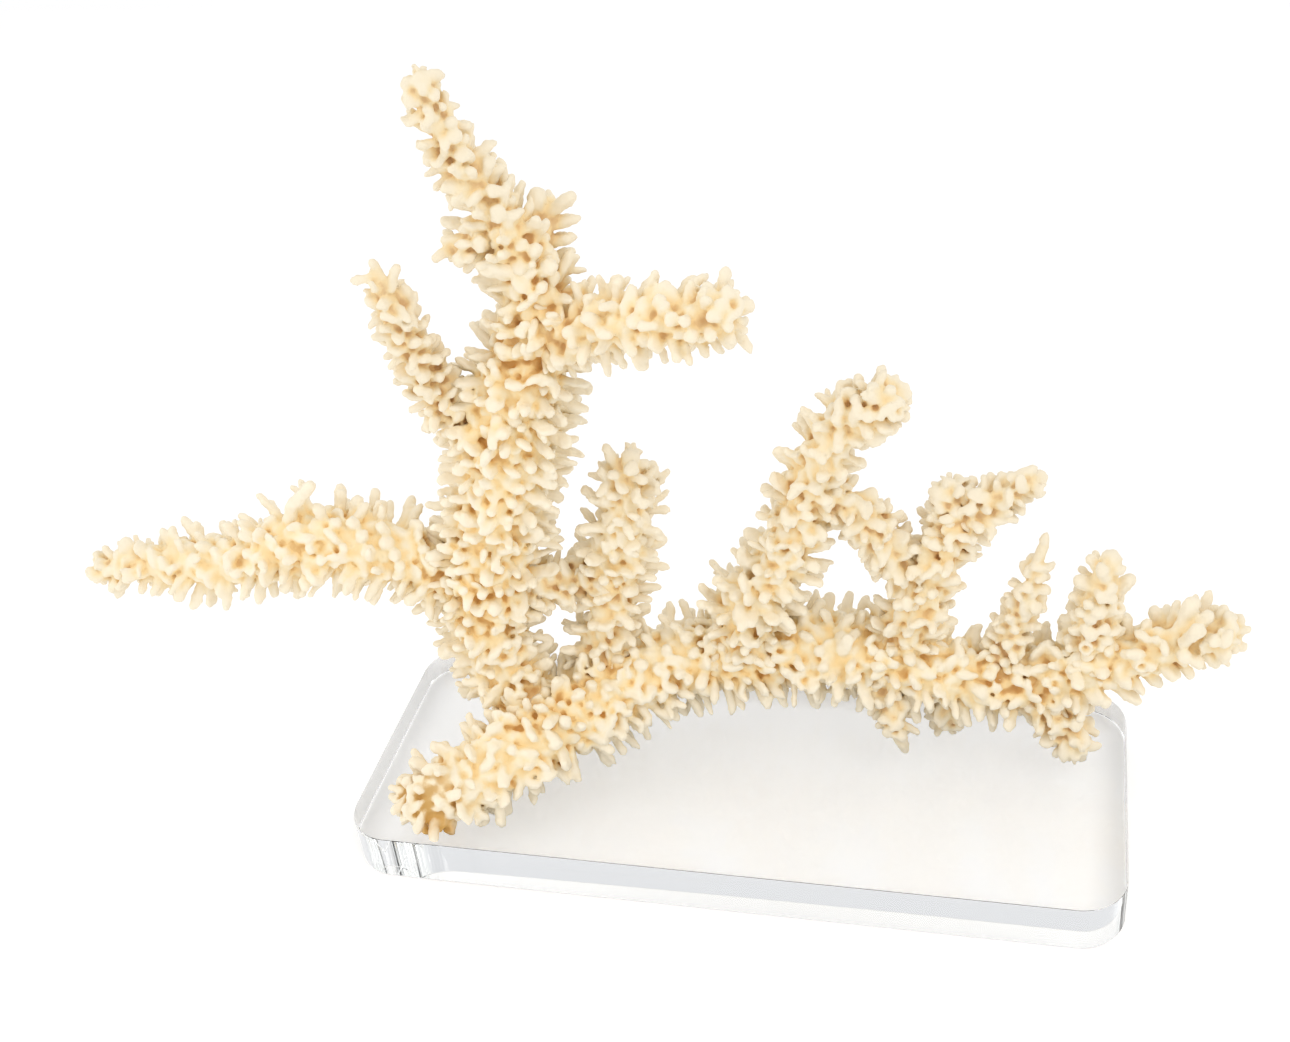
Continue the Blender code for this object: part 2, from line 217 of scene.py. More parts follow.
class Finish:
    """One material around a Principled shader."""

    def __init__(self, name):
        self.material = bpy.data.materials.new(name)
        self.material.use_nodes = True
        self.tree = self.material.node_tree
        self.shader = self.tree.nodes["Principled BSDF"]

    def feed(self, socket, value):
        if isinstance(value, Wire):
            self.tree.links.new(value.socket, socket)
        else:
            socket.default_value = value

    def add(self, kind, settings, inputs, output=0):
        """Adds a node of a kind, first its settings, then the values or wires of its sockets."""
        node = self.tree.nodes.new("ShaderNode" + kind)
        for setting, value in settings.items():
            if setting == "stops":
                self.set_stops(node.color_ramp.elements, value)
            else:
                setattr(node, setting, value)
        for socket, value in inputs.items():
            self.feed(node.inputs[socket], value)
        return Wire(self, node.outputs[output])

    def set_stops(self, elements, stops):
        for _ in range(len(stops) - len(elements)):
            elements.new(1.0)
        for element, (place, tone) in zip(elements, stops):
            element.position = place
            element.color = (*tone, 1.0)

    def maths(self, operation, *values):
        return self.add("Math", {"operation": operation}, dict(enumerate(values)))

    def ramp(self, value, low, high):
        """0 where the value is below low, 1 above high, and a smooth climb between."""
        settings = {"interpolation_type": "SMOOTHSTEP"}
        return self.add("MapRange", settings, {"Value": value, "From Min": low, "From Max": high})

    def mix(self, share, first, second):
        return self.add("MixRGB", {}, {"Fac": share, "Color1": first, "Color2": second})

    def noise(self, place, scale, detail=3.0):
        return self.add("TexNoise", {}, {"Vector": place, "Scale": scale, "Detail": detail})

    def set(self, **values):
        """Sets the shader's own sockets: Base_Color stands for Base Color."""
        for name, value in values.items():
            self.feed(self.shader.inputs[name.replace("_", " ")], value)


def colour(red, green, blue):
    return (red, green, blue, 1.0)


# The stronger glow under and near the slab is painted light, for the light that the slab and the
# coral keep from the floor.
FLOOR_GLOW = colour(0.12, 0.12, 0.12)
PAINTED_LIGHT_AT_SLAB = colour(0.38, 0.38, 0.38)
UNDER_SHARE = 0.5
NEAR_SHARE = 0.5
PAPER_DARK = colour(0.93, 0.93, 0.93)
PAPER_LIGHT = colour(0.95, 0.95, 0.95)
PAPER_SCALE = 3.0
PAPER_ROUGHNESS = 0.7

# Where the painted light fades, along x and y: first just inside the slab's edge, then well
# outside it.
UNDER_X, UNDER_Y = (128 * MM, 142.5 * MM), (42 * MM, 56 * MM)
NEAR_X, NEAR_Y = (160 * MM, 260 * MM), (100 * MM, 200 * MM)

floor_finish = Finish("pale_paper_and_painted_light")
floor_place = floor_finish.add("TexCoord", {}, {}, "Object")
floor_place = floor_finish.add("VectorMath", {"operation": "ABSOLUTE"}, {0: floor_place})
split = floor_finish.add("SeparateXYZ", {}, {0: floor_place})
floor_x, floor_y = split, Wire(floor_finish, split.socket.node.outputs[1])
under_slab = (1 - floor_finish.ramp(floor_x, *UNDER_X)) * (
    1 - floor_finish.ramp(floor_y, *UNDER_Y)
)
near_slab = (1 - floor_finish.ramp(floor_x, *NEAR_X)) * (1 - floor_finish.ramp(floor_y, *NEAR_Y))
floor_finish.set(
    Base_Color=floor_finish.mix(
        floor_finish.noise(floor_place, PAPER_SCALE), PAPER_DARK, PAPER_LIGHT
    ),
    Roughness=PAPER_ROUGHNESS,
    # Painted light: the floor glows more under and near the slab.
    Emission_Color=floor_finish.mix(
        under_slab * UNDER_SHARE + near_slab * NEAR_SHARE, FLOOR_GLOW, PAINTED_LIGHT_AT_SLAB
    ),
    Emission_Strength=1.0,
)
floor.data.materials.append(floor_finish.material)
print("floor nodes:", len(floor_finish.tree.nodes))

# %% [markdown]
# The acrylic slab
#
# The slab is cut from cast acrylic sheet, 19 mm thick. Its four upright edges are rounded with
# a router and all its edges are flame-polished. The CAD slab has the right size, but its corners
# are made of a few flat strips, which clear acrylic would show as bright bars. So it is drawn
# again with fine corners: a cube at the slab's size, its upright edges bevelled wide, and then a
# narrow bevel all round for the polish.

# %% Make the slab
SLAB_LOW, SLAB_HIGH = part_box("acrylic_slab")
SLAB_SIZE = SLAB_HIGH - SLAB_LOW
SLAB_TOP = SLAB_HIGH.z
CORNER_RADIUS = 17 * MM
CORNER_SEGMENTS = 24
POLISH_WIDTH = 0.35 * MM
POLISH_SEGMENTS = 3
SHARP_ANGLE = math.radians(8)


def choose(obj):
    """Makes this the only selected object, and the active one."""
    deselect_all()
    obj.select_set(True)
    bpy.context.view_layer.objects.active = obj


def select_edges(obj, wanted):
    """Enters edit mode with just those edges selected for which wanted(corner, corner) holds."""
    bpy.context.tool_settings.mesh_select_mode = (False, True, False)
    bpy.ops.object.mode_set(mode="EDIT")
    bpy.ops.mesh.select_all(action="DESELECT")
    bpy.ops.object.mode_set(mode="OBJECT")
    mesh = obj.data
    for edge in mesh.edges:
        first, second = (mesh.vertices[index].co for index in edge.vertices)
        edge.select = wanted(first, second)
    bpy.ops.object.mode_set(mode="EDIT")


deselect_all()
bpy.ops.mesh.primitive_cube_add(size=1.0, location=(SLAB_LOW + SLAB_HIGH) / 2, scale=SLAB_SIZE)
slab = bpy.context.object
slab.name = "clear_slab"
bpy.ops.object.transform_apply(location=True, rotation=True, scale=True)
select_edges(slab, lambda first, second: abs(first.z - second.z) > SLAB_SIZE.z / 2)
bpy.ops.mesh.bevel(offset=CORNER_RADIUS, segments=CORNER_SEGMENTS, affect="EDGES")
bpy.ops.object.mode_set(mode="OBJECT")
polish = slab.modifiers.new("polish", "BEVEL")
polish.width = POLISH_WIDTH
polish.segments = POLISH_SEGMENTS
polish.limit_method = "ANGLE"
bpy.ops.object.modifier_apply(modifier="polish")
bpy.ops.object.shade_smooth_by_angle(angle=SHARP_ANGLE)
print("slab faces:", len(slab.data.polygons))

# %% [markdown]
# Clear acrylic
#
# Acrylic bends light by 1.49 and takes almost none of it away. The faint tint comes from a
# volume that absorbs a little, with plain numbers. A little unevenness in the polish keeps its
# reflections from being perfect.

# %% Finish the slab
ACRYLIC_BEND = 1.49
ACRYLIC_TINT = (0.90, 0.95, 0.95, 1.0)
ACRYLIC_DENSITY = 1.2
LEAST_ROUGHNESS = 0.005
WIPE_ROUGHNESS = 0.02
WIPE_SCALE = 45.0

acrylic = Finish("clear_acrylic")
acrylic_place = acrylic.add("TexCoord", {}, {}, "Object")
wipe_marks = acrylic.noise(acrylic_place, WIPE_SCALE)
acrylic.set(
    Base_Color=colour(1.0, 1.0, 1.0),
    Roughness=LEAST_ROUGHNESS + wipe_marks * WIPE_ROUGHNESS,
    IOR=ACRYLIC_BEND,
    Transmission_Weight=1.0,
)
absorption = acrylic.add(
    "VolumeAbsorption", {}, {"Color": ACRYLIC_TINT, "Density": ACRYLIC_DENSITY}
)
acrylic.tree.links.new(absorption.socket, acrylic.tree.nodes["Material Output"].inputs["Volume"])
slab.data.materials.clear()
slab.data.materials.append(acrylic.material)
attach(slab, "root")
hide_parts("acrylic_slab")
print("acrylic nodes:", len(acrylic.tree.nodes))

# %% [markdown]
# The lines of the branches
#
# Each branch follows a smooth line. A row is one point: x, y and z of the branch's middle, and
# its reach, which is half its width measured over the fingers, in millimetres. These are the
# lines that the CAD solids were made on. Only a few tips are drawn in by 1 to 4 mm, so that
# their fingers end where they do in the photograph.

# %% Give the lines
LINES = {
    "low": [
        (-110, -44, 31, 13.5), (-98, -38, 34, 16.5), (-81, -24, 38, 18.5), (-67, -9, 40, 19.5),
        (-54, 5, 41, 20.5), (-40, 16, 46, 20.5), (-25, 22, 50, 20), (-10, 25, 52, 20.5),
        (6, 27, 54, 20.5), (21, 28, 55, 20.5), (36, 28, 56, 19.5), (51, 28, 55, 19.5),
        (66, 28, 52, 19), (81, 28, 49, 18), (96, 28, 47, 17), (110, 28, 48, 17),
        (124, 28, 54, 17), (134, 27, 60, 15), (147, 26, 67, 13), (160, 24, 75, 13),
        (170, 22, 80, 9),
    ],
    "trunk": [
        (-68, -5, 41, 13), (-85, 0, 49, 19), (-91, 4, 64, 18.5), (-93, 6, 87, 21.5),
        (-88, 7, 105, 23), (-84, 8, 123, 22), (-78, 8, 140, 22), (-73, 8, 157, 23),
        (-68, 8, 174, 22.5), (-60, 8, 193, 18.5), (-54, 8, 212, 16), (-55, 6, 227, 14),
        (-58, 4, 237, 12.5), (-62, 2, 248, 10.5), (-66, -2, 260, 8.5), (-69, -5, 270, 8),
        (-71, -8, 279, 7.2), (-72, -12, 291, 6),
    ],
    "crown_spur": [(-58, 4, 237, 7), (-68, 2, 236, 9), (-76, 1, 235, 8)],
    "crown_twig": [(-54, 7, 224, 7), (-51, 10, 233, 8.5), (-47, 14, 241, 7.5)],
    "right_arm": [
        (-57, 8, 199, 15), (-39, 4, 205, 14), (-24, -2, 210, 13), (-3, -8, 215, 12.5),
        (10, -12, 219, 10.5),
    ],
    "left_spur": [
        (-80, 7, 160, 11), (-92, 2, 177, 10), (-94, -4, 194, 8.5), (-95, -9, 210, 8),
        (-96, -13, 223, 7), (-97, -16, 233, 5.5),
    ],
    "left_arm": [
        (-93, 7, 92, 17), (-107, 4, 101, 17), (-120, 0, 111, 18), (-138, -4, 118, 18.5),
        (-156, -8, 121, 18), (-171, -10, 114, 15), (-196, -12, 111, 14), (-216, -14, 111, 11),
        (-236, -16, 108, 6.5),
    ],
    "inner_spire": [
        (-59, 14, 43, 14), (-54, 18, 61, 13), (-48, 18, 81, 14), (-43, 18, 100, 15.5),
        (-37, 16, 122, 14.5), (-34, 14, 138, 10), (-34, 13, 146, 7),
    ],
    "bridge": [(-88, 8, 88, 10), (-67, 14, 91, 10.5), (-47, 18, 92, 10)],
    "tall_spire": [
        (2, 27, 55, 17), (4, 24, 78, 18.5), (17, 22, 99, 14.5), (24, 20, 118, 13.5),
        (29, 18, 136, 12.5), (36, 16, 153, 12), (44, 14, 166, 11), (57, 10, 176, 9),
    ],
    "forked_spire": [
        (58, 28, 56, 14), (65, 28, 79, 13.5), (70, 28, 98, 13), (77, 27, 112, 12),
        (87, 26, 124, 9), (97, 25, 132, 7), (104, 24, 138, 6),
    ],
    "forked_stub": [(75, 27, 108, 7.5), (78, 28, 123, 7.5), (78, 28, 130, 6.5)],
    "link": [
        (29, 18, 136, 8), (43, 20, 128, 9), (51, 22, 118, 9.5), (57, 25, 104, 10),
        (66, 28, 86, 9),
    ],
    "thin_spire": [
        (95, 28, 48, 8), (99, 27, 70, 7.5), (104, 26, 86, 6.5), (107, 25, 100, 4.5),
        (110, 24, 111, 3),
    ],
    "knotty_spire": [
        (125, 28, 55, 11), (127, 27, 71, 10), (128, 26, 85, 9), (128, 25, 95, 8),
        (131, 24, 105, 5),
    ],
    "front_leg": [(52, 27, 50, 9), (55, 19, 38, 7.8), (59, 14, 30, 5.6), (61, 11, 25, 3)],
    "right_foot": [
        (105, 28, 42, 11.5), (117, 23, 36, 10.5), (122, 19, 29, 9), (123, 18, 26, 7.5),
    ],
    "under_twig": [(74, 28, 46, 8), (76, 27, 34, 7.5), (77, 26, 26, 6)],
}

# Each branch: its CAD node, its line, the points that it runs between, its free end, and the
# kind of fingers that it carries.
BRANCHES = [
    ("left_foot", "low", 0, 3, "start", "petals"),
    ("bough_near", "low", 3, 7, None, "mixed"),
    ("bough_middle", "low", 7, 11, None, "mixed"),
    ("bough_far", "low", 11, 16, None, "mixed"),
    ("bough_end", "low", 16, 20, "end", "knobs"),
    ("trunk_lower", "trunk", 0, 4, None, "mixed"),
    ("trunk_middle", "trunk", 4, 8, None, "mixed"),
    ("trunk_upper", "trunk", 8, 11, None, "mixed"),
    ("crown", "trunk", 11, 17, "end", "mixed"),
    ("crown_spur", "crown_spur", 0, 2, "end", "mixed"),
    ("crown_twig", "crown_twig", 0, 2, "end", "mixed"),
    ("right_arm", "right_arm", 0, 4, "end", "mixed"),
    ("left_spur", "left_spur", 0, 5, "end", "mixed"),
    ("left_arm", "left_arm", 0, 8, "end", "comb"),
    ("inner_spire", "inner_spire", 0, 6, "end", "mixed"),
    ("bridge", "bridge", 0, 2, None, "mixed"),
    ("tall_spire", "tall_spire", 0, 7, "end", "mixed"),
    ("forked_spire", "forked_spire", 0, 6, "end", "mixed"),
    ("forked_stub", "forked_stub", 0, 2, "end", "mixed"),
    ("link_branch", "link", 0, 4, None, "mixed"),
    ("thin_spire", "thin_spire", 0, 4, "end", "mixed"),
    ("knotty_spire", "knotty_spire", 0, 4, "end", "knobs"),
    ("front_leg", "front_leg", 0, 3, "end", "mixed"),
    ("right_foot", "right_foot", 0, 3, "end", "mixed"),
    ("under_twig", "under_twig", 0, 2, "end", "mixed"),
]
print("lines:", len(LINES), "branches:", len(BRANCHES))

# %% [markdown]
# Walking along a line
#
# A curve object could carry the branch, but the fingers need to know their place on it too. So
# each stretch of line is turned into evenly spaced stations. A station knows the branch's
# middle, its reach, the direction of growth and two directions across it. The two directions
# are carried from station to station, so that they never spin.

# %% Make the stations of a line
STATION_STEP = 1.5 * MM
FEWEST_STATIONS = 3
LINE_SAMPLES = 60
FIRST_SIDE_SQUARE_TO = (0.31, 0.87, 0.38)
LONGEST_FINGER = 10 * MM
SHORTEST_FINGER = 3.6 * MM
FINGER_PER_REACH = 0.66
FINGER_SHARE_OUTSIDE_CORE = 0.85
THINNEST_CORE = 1.2 * MM


def smooth_point(points, place):
    """Position and reach at a place between a line's points, on a Catmull-Rom curve."""
    last = len(points) - 1
    left = min(int(place), last - 1)
    share = place - left
    near = [points[min(max(left + step, 0), last)] for step in (-1, 0, 1, 2)]
    before, start, end, after = (np.array(point, float) * MM for point in near)
    bend = 2 * before - 5 * start + 4 * end - after
    turn = 3 * start - before - 3 * end + after
    return start + 0.5 * share * ((end - before) + share * (bend + share * turn))


def core_radius(reach):
    finger = np.clip(reach * FINGER_PER_REACH, SHORTEST_FINGER, LONGEST_FINGER)
    return np.maximum(reach - FINGER_SHARE_OUTSIDE_CORE * finger, THINNEST_CORE)


class Stem:
    """Evenly spaced stations along a stretch of a line."""

    def __init__(self, points, first, last):
        places = np.linspace(first, last, LINE_SAMPLES * (last - first))
        samples = np.array([smooth_point(points, place) for place in places])
        steps = np.linalg.norm(np.diff(samples[:, :3], axis=0), axis=1)
        travelled = np.concatenate([[0.0], np.cumsum(steps)])
        self.length = travelled[-1]
        count = max(int(self.length / STATION_STEP), FEWEST_STATIONS)
        wanted = np.linspace(0.0, self.length, count)
        even = np.stack([np.interp(wanted, travelled, column) for column in samples.T], axis=1)
        self.along = wanted
        self.middles = even[:, :3]
        self.reaches = even[:, 3]
        self.cores = core_radius(self.reaches)
        slopes = np.gradient(self.middles, axis=0)
        self.tangents = slopes / np.linalg.norm(slopes, axis=1)[:, None]
        self.sides = self.carry_sides()

    def carry_sides(self):
        side = np.cross(self.tangents[0], FIRST_SIDE_SQUARE_TO)
        carried = []
        for tangent in self.tangents:
            side = side - tangent * side.dot(tangent)
            side = side / np.linalg.norm(side)
            carried.append(side)
        return np.array(carried)

    def station(self, distance):
        """The index of the station nearest to a distance along the stem."""
        last = len(self.along) - 1
        return min(int(round(distance / self.length * last)), last)


stems = {name: Stem(LINES[line], first, last) for name, line, first, last, _, _ in BRANCHES}
print("longest branch in mm:", round(max(stem.length for stem in stems.values()) / MM))

# %% [markdown]
# The fingers
#
# Look closely and no two fingers are the same, but they are of a few kinds: round, flattened,
# arched, tapered, club-headed, forked, short and knob-like, or hollowed at the tip. Each kind is
# drawn once, one unit long and one unit thick. It starts as a small disc that is extruded
# upwards rim by rim, each rim resized and moved a little. A few dozen faces are enough, because
# everything is fused afterwards.

# %% Draw each kind of finger once
FINGER_SIDES = 8
SECOND_PRONG_SCALE = (-0.8, 0.9, 1.06)

# A rim: its height, its width, its breadth, and how far it is moved sideways.
FINGER_KINDS = {
    "round": [
        (0, 1.0, 1.0, 0), (0.4, 1.0, 0.96, 0.02), (0.78, 1.0, 0.94, 0.1),
        (0.91, 0.84, 0.8, 0.14), (0.98, 0.5, 0.48, 0.15), (1.0, 0.16, 0.16, 0.15),
    ],
    "flat": [
        (0, 1.2, 0.9, 0), (0.4, 1.42, 0.76, 0), (0.76, 1.6, 0.74, 0.08),
        (0.9, 1.36, 0.66, 0.14), (0.98, 0.8, 0.44, 0.16), (1.0, 0.26, 0.16, 0.16),
    ],
    "arched": [
        (0, 1.0, 1.0, 0), (0.3, 1.02, 0.96, 0.12), (0.55, 1.1, 0.94, 0.42),
        (0.76, 1.16, 0.92, 0.84), (0.89, 0.84, 0.72, 1.12), (0.94, 0.32, 0.3, 1.24),
    ],
    "tapered": [
        (0, 1.1, 1.06, 0), (0.4, 1.0, 0.94, 0.06), (0.75, 0.84, 0.8, 0.12),
        (0.94, 0.58, 0.56, 0.14), (1.0, 0.2, 0.2, 0.14),
    ],
    "club": [
        (0, 0.9, 0.9, 0), (0.4, 0.9, 0.88, 0), (0.66, 1.14, 1.06, 0.06),
        (0.84, 1.2, 1.12, 0.1), (0.95, 0.84, 0.8, 0.12), (1.0, 0.28, 0.26, 0.12),
    ],
    "knob": [
        (0, 1.1, 1.1, 0), (0.4, 1.2, 1.14, 0), (0.74, 1.24, 1.16, 0),
        (0.93, 0.86, 0.82, 0), (1.0, 0.3, 0.3, 0),
    ],
    "hollow": [
        (0, 1.1, 1.1, 0), (0.5, 1.2, 1.14, 0), (0.86, 1.34, 1.26, 0), (0.98, 1.16, 1.08, 0),
        (0.95, 0.7, 0.66, 0), (0.74, 0.46, 0.44, 0),
    ],
}


def draw_finger(name, rims):
    """A finger as a mesh object, standing on the origin."""
    deselect_all()
    _, width, breadth, _ = rims[0]
    bpy.ops.mesh.primitive_circle_add(
        vertices=FINGER_SIDES, radius=0.5, fill_type="NGON", location=(0, 0, 0)
    )
    finger = bpy.context.object
    finger.name = "finger_" + name
    bpy.ops.object.mode_set(mode="EDIT")
    bpy.ops.mesh.select_all(action="SELECT")
    bpy.ops.transform.resize(value=(width, breadth, 1), center_override=(0, 0, 0))
    for lower, upper in zip(rims, rims[1:]):
        rise = (upper[3] - lower[3], 0, upper[0] - lower[0])
        bpy.ops.mesh.extrude_region_move(TRANSFORM_OT_translate={"value": rise})
        growth = (upper[1] / lower[1], upper[2] / lower[2], 1)
        bpy.ops.transform.resize(value=growth, center_override=(upper[3], 0, upper[0]))
    bpy.ops.mesh.select_all(action="SELECT")
    bpy.ops.mesh.normals_make_consistent(inside=False)
    bpy.ops.object.mode_set(mode="OBJECT")
    return finger


fingers = {name: draw_finger(name, rims) for name, rims in FINGER_KINDS.items()}

# A forked finger is two arched ones that lean apart from one foot.
choose(fingers["arched"])
bpy.ops.object.duplicate()
second_prong = bpy.context.object
second_prong.scale = SECOND_PRONG_SCALE
bpy.ops.object.transform_apply(location=True, rotation=True, scale=True)
bpy.ops.object.mode_set(mode="EDIT")
bpy.ops.mesh.select_all(action="SELECT")
bpy.ops.mesh.normals_make_consistent(inside=False)
bpy.ops.object.mode_set(mode="OBJECT")
choose(fingers["arched"])
bpy.ops.object.duplicate()
fingers["forked"] = bpy.context.object
fingers["forked"].name = "finger_forked"
second_prong.select_set(True)
bpy.ops.object.join()
print("faces of each finger:", {name: len(obj.data.polygons) for name, obj in fingers.items()})

# %% [markdown]
# Where the fingers stand
#
# A coral adds its fingers one after another around the branch, like the scales of a pine cone.
# Turning by the golden angle from each finger to the next spreads them evenly on a branch of any
# thickness. How far to move on along the branch follows from its girth: the fingers' tips stay
# about 6 mm apart. On thick wood long slender fingers take turns with low broad ones, which
# fill the gaps with soft lumps, and they stand almost straight out from the branch. On thin wood
# they are all long and lean towards its tip. On the side that faced the camera they are worn
# lower and broader. A free end is rounded and has fingers all over. The single fingers that
# stand out in the photograph are placed one by one, and the others make room for them.

# %% Find a place for every finger
SPACING_ON_THICK = 5.6 * MM
SPACING_ON_THIN = 6.0 * MM
THICKNESS_ON_THICK = 3.3 * MM
THICKNESS_ON_THIN = 3.2 * MM
THICK_REACH = 20 * MM
THIN_REACH = 11 * MM
LEAN_ON_THICK = 0.15
LEAN_ON_THIN = 1.0
SPREAD = 0.34
LENGTH_SPREAD = 0.16
LONG_LENGTH = 1.18
LOW_LENGTH = 0.55
LOW_THICKNESS = 1.28
WORN_SIDE = np.array([0.18, -0.78, 0.60])
WORN_ON_THICK = 0.55
WORN_ON_THIN = 0.12
WORN_BREADTH = 0.45
MOST_WORN = 0.6
LEAST_RISE = 0.6
THINNEST, THICKEST = 0.82, 1.24
FULL_TURN = 2 * math.pi
SINGLE_TURN = 0.0
ROOM_ROUND_SINGLE = 6.0 * MM
TIP_SPACING = 1.2
TIP_START = 0.25
FEWEST_ON_TIP = 3
ROOT_DEPTH = 0.75
GOLDEN_ANGLE = math.pi * (3 - math.sqrt(5))
SEED = 41

# How often each kind of finger grows on each kind of branch.
MIXTURES = {
    "mixed": {
        "round": 5, "flat": 5, "arched": 4, "tapered": 2, "club": 2, "forked": 2, "knob": 1,
    },
    "comb": {"round": 6, "flat": 4, "arched": 3, "tapered": 3, "club": 3},
    "petals": {"flat": 11, "round": 3, "arched": 3, "tapered": 3, "forked": 2},
    "knobs": {"knob": 5, "hollow": 1, "club": 5, "round": 4, "flat": 3},
}
LENGTH_OF_MIXTURE = {"mixed": 1.0, "comb": 1.0, "petals": 1.0, "knobs": 0.95}
THICKNESS_OF_MIXTURE = {"mixed": 1.0, "comb": 1.02, "petals": 1.12, "knobs": 1.05}
EXTRA_WORN = {"mixed": 0.0, "comb": 0.4, "petals": 0.2, "knobs": 0.0}


def between(thick, thin, reach):
    """A value for a branch of this reach, from the values for thick and for thin wood."""
    return thin + (thick - thin) * min(reach / THICK_REACH, 1)


class Growth:
    """The fingers of one branch: a kind, a foot, a direction, a length and a thickness each."""

    def __init__(self, stem, free_end, mixture, dice):
        self.stem = stem
        self.free_end = free_end
        self.mixture = mixture
        self.dice = dice
        self.fingers = []
        self.cover_sides()
        if free_end is not None:
            self.cover_tip()

    def across(self, index, turn):
        """The direction out from the stem at a station, turned round it."""
        side = self.stem.sides[index]
        other = np.cross(self.stem.tangents[index], side)
        return side * math.cos(turn) + other * math.sin(turn)

    def add(self, foot, outward, lean, reach, core, low=False):
        """A finger from its foot outwards, leaning and spread a little, and worn in front."""
        spread = np.array([self.dice.uniform(-1, 1) for _ in range(3)]) * SPREAD
        direction = outward + lean + spread
        direction = direction / np.linalg.norm(direction)
        full = (reach - ROOT_DEPTH * core) * LENGTH_OF_MIXTURE[self.mixture]
        rise = max(float(direction.dot(outward)), LEAST_RISE)
        length = full / rise * (1 + self.dice.uniform(-LENGTH_SPREAD, LENGTH_SPREAD))
        worn = max(float(outward.dot(WORN_SIDE)), 0) ** 2
        worn_share = between(WORN_ON_THICK, WORN_ON_THIN, reach) + EXTRA_WORN[self.mixture]
        length = length * (1 - min(worn_share, MOST_WORN) * worn)
        thickness = between(THICKNESS_ON_THICK, THICKNESS_ON_THIN, reach)
        thickness = thickness * (1 + WORN_BREADTH * worn) * THICKNESS_OF_MIXTURE[self.mixture]
        thickness = thickness * self.dice.uniform(THINNEST, THICKEST)
        if low and reach > THIN_REACH:
            length = length * LOW_LENGTH
            thickness = thickness * LOW_THICKNESS
        elif lean.any():
            length = length * LONG_LENGTH
        kinds = MIXTURES[self.mixture]
        kind = self.dice.choices(list(kinds), weights=list(kinds.values()))[0]
        turn = self.dice.uniform(0, FULL_TURN)
        self.fingers.append((kind, foot, direction, length, thickness, turn))

    def add_single(self, kind, foot, tip, thickness):
        """A finger from foot to tip. The others make room round its outer half."""
        length = float(np.linalg.norm(tip - foot))
        direction = (tip - foot) / length
        kept = []
        for finger in self.fingers:
            _, other_foot, other_direction, other_length, _, turn = finger
            to_tip = other_foot + other_direction * other_length - foot
            along = min(max(float(to_tip.dot(direction)), length / 2), length)
            away = float(np.linalg.norm(to_tip - direction * along))
            if turn == SINGLE_TURN or away > ROOM_ROUND_SINGLE:
                kept.append(finger)
        self.fingers = kept
        self.fingers.append((kind, foot, direction, length, thickness, SINGLE_TURN))

    def cover_sides(self):
        """Fingers all round the branch, from its start to its end."""
        stem = self.stem
        forward = -1 if self.free_end == "start" else 1
        distance = self.dice.uniform(0, 1) * MM
        turn = self.dice.uniform(0, FULL_TURN)
        low = False
        while distance < stem.length:
            index = stem.station(distance)
            reach = stem.reaches[index]
            core = stem.cores[index]
            lean = forward * stem.tangents[index] * between(LEAN_ON_THICK, LEAN_ON_THIN, reach)
            outward = self.across(index, turn)
            foot = stem.middles[index] + outward * core * ROOT_DEPTH
            self.add(foot, outward, lean, reach, core, low)
            low = not low
            spacing = between(SPACING_ON_THICK, SPACING_ON_THIN, reach)
            distance += spacing**2 / (FULL_TURN * reach)
            turn += GOLDEN_ANGLE

    def cover_tip(self):
        """Fingers over the rounded end, from its rim to its middle."""
        index = 0 if self.free_end == "start" else len(self.stem.along) - 1
        forward = self.stem.tangents[index] * (-1 if index == 0 else 1)
        reach = self.stem.reaches[index]
        core = self.stem.cores[index]
        spacing = between(SPACING_ON_THICK, SPACING_ON_THIN, reach) * TIP_SPACING
        count = max(round(FULL_TURN * reach**2 / spacing**2), FEWEST_ON_TIP)
        for number in range(count):
            height = TIP_START + (1 - TIP_START) * (number + 0.5) / count
            turn = number * GOLDEN_ANGLE
            outward = self.across(index, turn) * math.sqrt(1 - height**2) + forward * height
            foot = self.stem.middles[index] + outward * core * ROOT_DEPTH
            self.add(foot, outward, np.zeros(3), reach, core)


